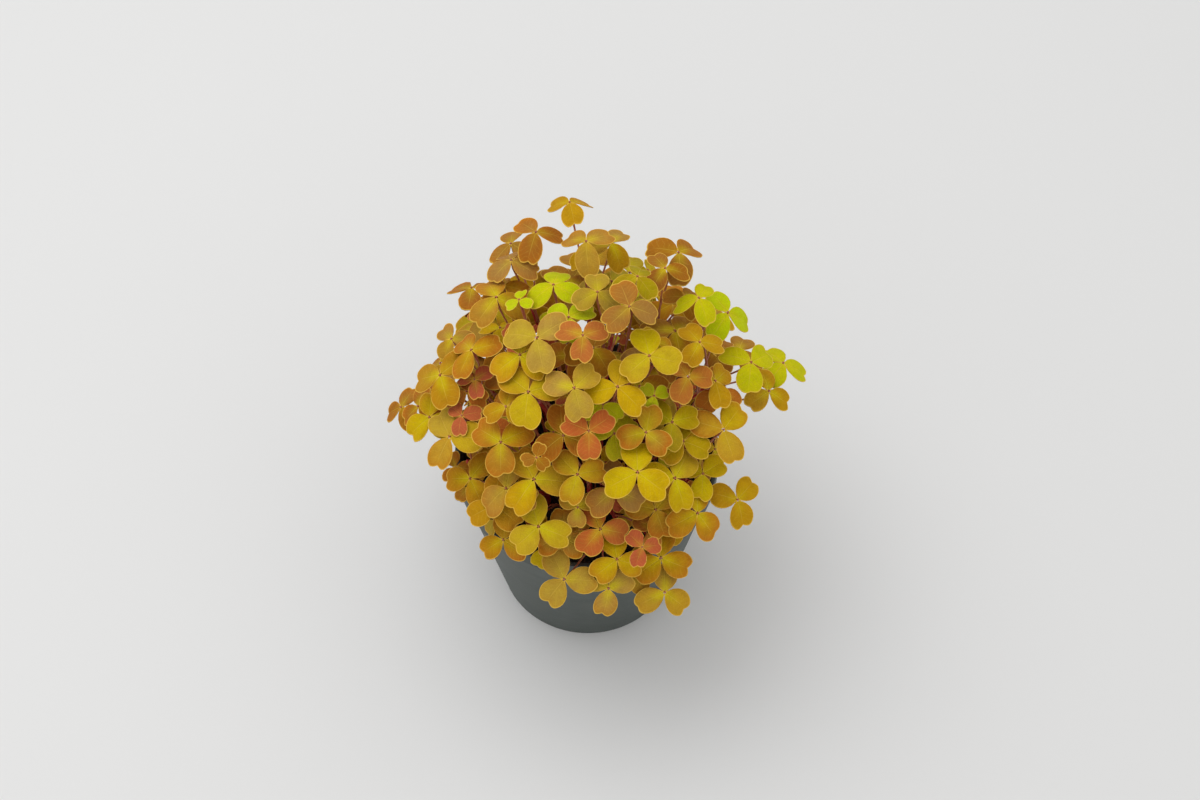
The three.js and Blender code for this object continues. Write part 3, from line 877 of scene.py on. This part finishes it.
class Canopy:
    """The pot and all the leaves so far: a bud opens where it sees out and touches none of them."""

    # Buds lie in a shell between these shares of the way out, more of them above than at the sides.
    SHELL = (0.45, 0.95)
    UPWARDS = 0.3

    def __init__(self, pot, leafy):
        self.trees = [tree_of([pot]), tree_of(leafy)]
        corners = [vert.co for piece in leafy for vert in piece.data.vertices]
        self.middle = Vector((0, 0, SOIL_BOX[1].z))
        self.reach = Vector([max(corner[axis] for corner in corners) for axis in range(3)]) - self.middle

    def bud(self, rng):
        """A place in the shell just inside the leaves, and the way out from the plant's middle there."""
        way = Vector((rng.gauss(0, 1), rng.gauss(0, 1), abs(rng.gauss(self.UPWARDS, 1)))).normalized()
        depth = rng.uniform(*self.SHELL)
        return self.middle + Vector([w * r * depth for w, r in zip(way, self.reach)]), way

    def hides(self, hub, way, elbow_room):
        """Whether a hub can't see out that way, or another leaf stands too near it."""
        return any(tree.ray_cast(hub, way)[0] or tree.find_nearest(hub, elbow_room)[0] for tree in self.trees)

    def admits(self, leaf):
        """Whether the leaf touches no other; if so it becomes part of the canopy."""
        tree = BVHTree.FromBMesh(leaf)
        if any(other.overlap(tree) for other in self.trees):
            return False
        self.trees.append(tree)
        return True


def open_young_leaf(hub, up, length, folding, tone, settings, rng):
    """A small leaf on its own stalk from the soil; the newest are still folded."""
    sag = rng.uniform(*YOUNG_SAG) + FOLDED_SAG * folding
    leaf = Leaf.opened(hub, up, length, sag, rng.uniform(0, math.tau))
    bm = new_foliage()
    add_blades(bm, [leaf], tone, settings.leaf, lambda _: folding, YOUNG_GRID, rng)
    root = Vector((hub.x * YOUNG_ROOT_SHARE, hub.y * YOUNG_ROOT_SHARE, SOIL_BOX[1].z - YOUNG_ROOT_SUNK))
    add_petiole(bm, root, leaf, settings.stem)
    return bm


# ---------------------------------------------------------------- operators
class SORREL_OT_stage(bpy.types.Operator):
    """Sets the camera, the soft lights and the plain floor"""

    bl_idname = "sorrel.stage"
    bl_label = "Set the Stage"

    PIXELS = (1200, 800)
    RIM_PIXEL = (587, 450)
    PIXELS_PER_METRE = 2640
    SENSOR = 36
    FLOOR_REACH = 4
    DAYLIGHT = (1, 1, 0.99, 1)
    WINDOW_PLACE = (-0.42, 0.25, 1.3)
    WINDOW_WIDTH = 1.2

    def execute(self, context):
        stage = context.scene.sorrel.stage
        self.place_camera(context.scene, stage)
        self.lay_floor(stage)
        self.light(context.scene, stage)
        return {"FINISHED"}

    def place_camera(self, scene, stage):
        """The rim's centre appears at RIM_PIXEL, at PIXELS_PER_METRE."""
        data = bpy.data.cameras.new("camera")
        data.sensor_width = self.SENSOR
        data.lens = self.SENSOR * self.PIXELS_PER_METRE * stage.distance / self.PIXELS[0]
        camera = bpy.data.objects.new("camera", data)
        back = Vector((0, -math.cos(stage.elevation), math.sin(stage.elevation)))
        above = Vector((0, math.sin(stage.elevation), math.cos(stage.elevation)))
        right = (self.PIXELS[0] / 2 - self.RIM_PIXEL[0]) / self.PIXELS_PER_METRE
        rise = (self.RIM_PIXEL[1] - self.PIXELS[1] / 2) / self.PIXELS_PER_METRE
        target = Vector((right, 0, POT_TOP.z)) + above * rise
        camera.location = target + back * stage.distance
        camera.rotation_euler = (math.pi / 2 - stage.elevation, 0, 0)
        scene.collection.objects.link(camera)
        scene.camera = camera

    def lay_floor(self, stage):
        bm = bmesh.new()
        bmesh.ops.create_grid(bm, x_segments=1, y_segments=1, size=self.FLOOR_REACH)
        mesh = bpy.data.meshes.new("floor")
        bm.to_mesh(mesh)
        bm.free()
        mesh.materials.append(floor_finish(stage))
        floor = bpy.data.objects.new("floor", mesh)
        bpy.context.scene.collection.objects.link(floor)
        floor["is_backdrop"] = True

    def light(self, scene, stage):
        scene.view_settings.view_transform = "Standard"
        world = bpy.data.worlds.new("soft_room")
        world.use_nodes = True
        background = world.node_tree.nodes["Background"]
        background.inputs["Color"].default_value = self.DAYLIGHT
        background.inputs["Strength"].default_value = stage.sky
        scene.world = world
        data = bpy.data.lights.new("window", "AREA")
        data.shape = "DISK"
        data.size = self.WINDOW_WIDTH
        data.energy = stage.window
        window = bpy.data.objects.new("window", data)
        window.location = self.WINDOW_PLACE
        window.rotation_euler = (-window.location).to_track_quat("-Z", "Y").to_euler()
        scene.collection.objects.link(window)


class SORREL_OT_pot(bpy.types.Operator):
    """Turns the nursery pot, with its lip and drain holes"""

    bl_idname = "sorrel.pot"
    bl_label = "Turn the Pot"

    STEPS = 96
    DRAINS = 6
    DRAIN_SIDES = 24
    EDGE_STEPS = 4
    ROUNDED_ABOVE = math.radians(20)
    SHARP_ABOVE = 25

    def execute(self, context):
        pot = context.scene.sorrel.pot
        rim, height = POT_TOP.x, POT_TOP.z
        under_lip = height - pot.lip_height
        shoulder = rim - pot.lip_out
        inner_foot = POT_FOOT + (shoulder - POT_FOOT) * pot.floor / under_lip - pot.wall
        foot_ring = POT_FOOT - pot.foot_ring
        recess = foot_ring - pot.ring_slope
        bm = bmesh.new()
        profile = [
            (0, pot.recess),
            (recess, pot.recess),
            (foot_ring, 0),
            (POT_FOOT, 0),
            (shoulder, under_lip),
            (rim, under_lip + pot.lip_slope),
            (rim, height),
            (rim - pot.lip_wall, height),
            (shoulder - pot.wall, under_lip),
            (inner_foot, pot.floor),
            (0, pot.floor),
        ]
        turned(bm, profile, self.STEPS)
        rings = [edge for edge in bm.edges if self.is_moulded(edge, (recess + foot_ring) / 2)]
        bmesh.ops.bevel(
            bm,
            geom=rings,
            offset=pot.rounding,
            segments=self.EDGE_STEPS,
            profile=0.5,
            affect="EDGES",
            material=-1,
        )
        piece = finished("nursery_pot", bm, [pot_finish(pot)], ["pot"], "pot")
        self.drain(piece, pot)
        shade(piece.data, self.SHARP_ABOVE)
        return {"FINISHED"}

    def is_moulded(self, edge, beyond):
        """The edges that run round the pot beyond that radius."""
        a, b = (vert.co for vert in edge.verts)
        level = abs(a.z - b.z) < SAME_POINT and abs(a.xy.length - b.xy.length) < SAME_POINT
        return level and a.xy.length > beyond and edge.calc_face_angle() > self.ROUNDED_ABOVE

    def drain(self, piece, pot):
        """Cuts the drain holes straight down through the floor."""
        bm = bmesh.new()
        for k in range(self.DRAINS):
            place = Matrix.Rotation(math.tau * k / self.DRAINS, 4, "Z")
            place @= Matrix.Translation((pot.drain_ring, 0, pot.floor / 2))
            bmesh.ops.create_cone(
                bm,
                cap_ends=True,
                segments=self.DRAIN_SIDES,
                radius1=pot.drain_radius,
                radius2=pot.drain_radius,
                depth=pot.floor * 2,
                matrix=place,
            )
        mesh = bpy.data.meshes.new("drains")
        bm.to_mesh(mesh)
        bm.free()
        cutter = bpy.data.objects.new("drains", mesh)
        bpy.context.scene.collection.objects.link(cutter)
        cut = piece.modifiers.new("drains", "BOOLEAN")
        cut.object = cutter
        cut.solver = "EXACT"
        graph = bpy.context.evaluated_depsgraph_get()
        drained = bpy.data.meshes.new_from_object(piece.evaluated_get(graph))
        piece.modifiers.clear()
        piece.data = drained
        bpy.data.objects.remove(cutter)


class SORREL_OT_soil(bpy.types.Operator):
    """Fills the pot with lumpy peat and loose crumbs"""

    bl_idname = "sorrel.soil"
    bl_label = "Fill the Soil"

    STEPS = 84
    RINGS = 26
    # The lumps are a fractal of that dimension, lacunarity and number of octaves, over broader swells. Both
    # have a share of the height, and they are sunk a little.
    LUMPS_PER_METRE = 160
    LUMP_FRACTAL = (0.8, 2.0, 3)
    LUMP_SHARE = 0.5
    SWELLS_PER_METRE = 60
    SWELL_SHARE = 0.3
    SUNK = 0.3
    # They keep their height almost to the wall.
    LEVEL_AT_WALL_POWER = 6
    # The crumbs' sizes, how far they are squashed sideways and down, and how deep their dents are.
    CRUMB_SIZES = (0.4, 1.3)
    CRUMB_SIDEWAYS = (0.7, 1.3)
    CRUMB_DOWN = (0.5, 0.9)
    CRUMB_DENTS_PER_METRE = 900
    CRUMB_DENTS = 0.3
    SMOOTH_BELOW = 60

    def execute(self, context):
        soil = context.scene.sorrel.soil
        low, high = SOIL_BOX
        radius = high.x - soil.clearance
        surface = high.z - soil.level
        bm = bmesh.new()
        top = [(radius * i / self.RINGS, surface) for i in range(self.RINGS + 1)]
        turned(bm, [*top, (SOIL_FOOT, low.z), (0, low.z)], self.STEPS)
        for vert in bm.verts:
            if vert.co.z > surface - SAME_POINT:
                fade = 1 - (vert.co.xy.length / radius) ** self.LEVEL_AT_WALL_POWER
                vert.co.z += soil.lumps * self.lump(vert.co) * fade
        rng = random.Random(SEED)
        noise.seed_set(SEED)
        for _ in range(soil.crumbs):
            self.add_crumb(bm, soil, radius - soil.crumb_edge, surface, rng)
        finished("soil_filling", bm, [soil_finish(soil)], ["soil"], "soil", self.SMOOTH_BELOW)
        return {"FINISHED"}

    def lump(self, place):
        """How high the soil stands there, mostly between -1 and 1."""
        lumps = noise.fractal(place * self.LUMPS_PER_METRE, *self.LUMP_FRACTAL)
        swells = noise.noise(place * self.SWELLS_PER_METRE)
        return self.LUMP_SHARE * lumps + self.SWELL_SHARE * swells - self.SUNK

    def add_crumb(self, bm, soil, spread, height, rng):
        reach = spread * math.sqrt(rng.random())
        angle = rng.uniform(0, math.tau)
        size = soil.crumb_size * rng.uniform(*self.CRUMB_SIZES)
        place = Matrix.Translation((reach * math.cos(angle), reach * math.sin(angle), height))
        flattening = (self.CRUMB_SIDEWAYS, self.CRUMB_SIDEWAYS, self.CRUMB_DOWN)
        squash = Matrix.Diagonal((*[rng.uniform(*shares) for shares in flattening], 1))
        turn = Matrix.Rotation(rng.uniform(0, math.tau), 4, "Z")
        crumb = bmesh.ops.create_icosphere(bm, subdivisions=1, radius=size, matrix=place @ turn @ squash)
        for vert in crumb["verts"]:
            dent = noise.noise_vector(vert.co * self.CRUMB_DENTS_PER_METRE)
            vert.co += dent * size * self.CRUMB_DENTS


class SORREL_OT_shoots(bpy.types.Operator):
    """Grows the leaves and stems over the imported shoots"""

    bl_idname = "sorrel.shoots"
    bl_label = "Grow the Shoots"

    def execute(self, context):
        settings = context.scene.sorrel
        for node in SHOOTS:
            grow_shoot(node, settings)
        return {"FINISHED"}


class SORREL_OT_young_leaves(bpy.types.Operator):
    """Opens young leaves where light falls through the canopy"""

    bl_idname = "sorrel.young_leaves"
    bl_label = "Open the Young Leaves"

    INNER = 32 * MM
    INNER_TONES = ("lime", "lime", "olive", "gold", "rose")
    # Away from the middle the young leaves open under the canopy, where their many bronze and ochre leaves
    # are partly their own tones and partly painted shade.
    OUTER_TONES = ("bronze", "bronze", "ochre", "ochre", "olive", "gold", "rose")
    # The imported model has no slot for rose, which is the coral of small leaves.
    SLOTS = {"rose": "leaf_coral"}
    # How far a scattered leaf leans aside and up from the way out. Few are still folded, as a random share
    # is raised to this power.
    LEAN = 0.5
    LIFT = (0.3, 1.4)
    FOLDED_POWER = 4
    # Those that show by themselves: tone, place of the hub and length in mm, and how folded it is. A try
    # to open one strays this much further from its place than the last, and it leans outwards.
    LONE_LEAVES = (
        ("rose", (-40, -4, 141), 7.5, 0.1),
        ("rose", (-44, -20, 138), 7.5, 0.1),
        ("rose", (20, -54, 120), 7.5, 0.8),
    )
    TRIES = 60
    ASTRAY = 0.05 * MM
    UPRIGHT = 150 * MM

    def execute(self, context):
        settings = context.scene.sorrel
        pieces = context.scene.objects
        leafy = [piece for piece in pieces if piece.name.startswith("leaves_")]
        canopy = Canopy(pieces["nursery_pot"], leafy)
        foliage = {}
        for grown in (self.scattered(canopy, settings), self.lone(canopy, settings)):
            for tone, leaf in grown:
                if tone not in foliage:
                    foliage[tone] = new_foliage()
                self.gather(foliage[tone], leaf)
                leaf.free()
        for tone, bm in foliage.items():
            slot = self.SLOTS.get(tone, f"leaf_{tone}")
            finished(f"young_{tone}", bm, foliage_materials(settings, tone), slot=slot)
        return {"FINISHED"}

    def scattered(self, canopy, settings):
        """The tone and mesh of each leaf that opens at a random bud."""
        young = settings.young
        rng = random.Random(SEED)
        for _ in range(young.buds):
            hub, way = canopy.bud(rng)
            lean = Vector((rng.gauss(0, self.LEAN), rng.gauss(0, self.LEAN), rng.uniform(*self.LIFT)))
            up = (way + lean).normalized()
            spread = young.spread if hub.y < 0 else young.back_spread
            if abs(hub.x) > young.spread or hub.xy.length > spread:
                continue
            if canopy.hides(hub, way, young.elbow_room):
                continue
            tone = rng.choice(self.INNER_TONES if hub.xy.length < self.INNER else self.OUTER_TONES)
            length = rng.uniform(young.shortest, young.longest)
            folding = rng.random() ** self.FOLDED_POWER
            leaf = open_young_leaf(hub, up, length, folding, tone, settings, rng)
            if canopy.admits(leaf):
                yield tone, leaf
            else:
                leaf.free()

    def lone(self, canopy, settings):
        """The tone and mesh of each of LONE_LEAVES, as near its place as it touches no other."""
        for tone, place, length, folding in self.LONE_LEAVES:
            rng = random.Random(f"{SEED} {tone} {place[0] * MM:.3f}")
            for attempt in range(self.TRIES):
                astray = Vector((rng.gauss(0, 1), rng.gauss(0, 1), rng.gauss(0, 1)))
                hub = Vector(place) * MM + astray * self.ASTRAY * attempt
                up = (UP + Vector((hub.x, hub.y, 0)) / self.UPRIGHT).normalized()
                leaf = open_young_leaf(hub, up, length * MM, folding, tone, settings, rng)
                if canopy.admits(leaf):
                    yield tone, leaf
                    break
                leaf.free()

    def gather(self, foliage, leaf):
        """Adds the leaf's mesh to the foliage of its tone."""
        mesh = bpy.data.meshes.new("young")
        leaf.to_mesh(mesh)
        foliage.from_mesh(mesh)
        bpy.data.meshes.remove(mesh)


class SORREL_PT_panel(bpy.types.Panel):
    """Lists the steps that dress the plant"""

    bl_label = "Wood Sorrel"
    bl_space_type = "VIEW_3D"
    bl_region_type = "UI"
    bl_category = "Sorrel"

    def draw(self, context):
        for operator in OPERATORS:
            self.layout.operator(operator.bl_idname)


GROUPS = (
    SorrelPotSettings,
    SorrelSoilSettings,
    SorrelLeafSettings,
    SorrelYoungSettings,
    SorrelStemSettings,
    SorrelToneSettings,
    SorrelStageSettings,
    SorrelSettings,
)
OPERATORS = (SORREL_OT_stage, SORREL_OT_pot, SORREL_OT_soil, SORREL_OT_shoots, SORREL_OT_young_leaves)
CLASSES = (*GROUPS, *OPERATORS, SORREL_PT_panel)


def register():
    for cls in CLASSES:
        bpy.utils.register_class(cls)
    bpy.types.Scene.sorrel = PointerProperty(type=SorrelSettings)


def unregister():
    del bpy.types.Scene.sorrel
    for cls in reversed(CLASSES):
        bpy.utils.unregister_class(cls)


def main():
    register()
    bpy.ops.sorrel.stage()
    bpy.ops.sorrel.pot()
    bpy.ops.sorrel.soil()
    bpy.ops.sorrel.shoots()
    bpy.ops.sorrel.young_leaves()
    boxes = {"cad": CAD_BOX, "visual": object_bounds()}
    {name: [list(corner) for corner in box] for name, box in boxes.items()}


if __name__ == "__main__":
    main()
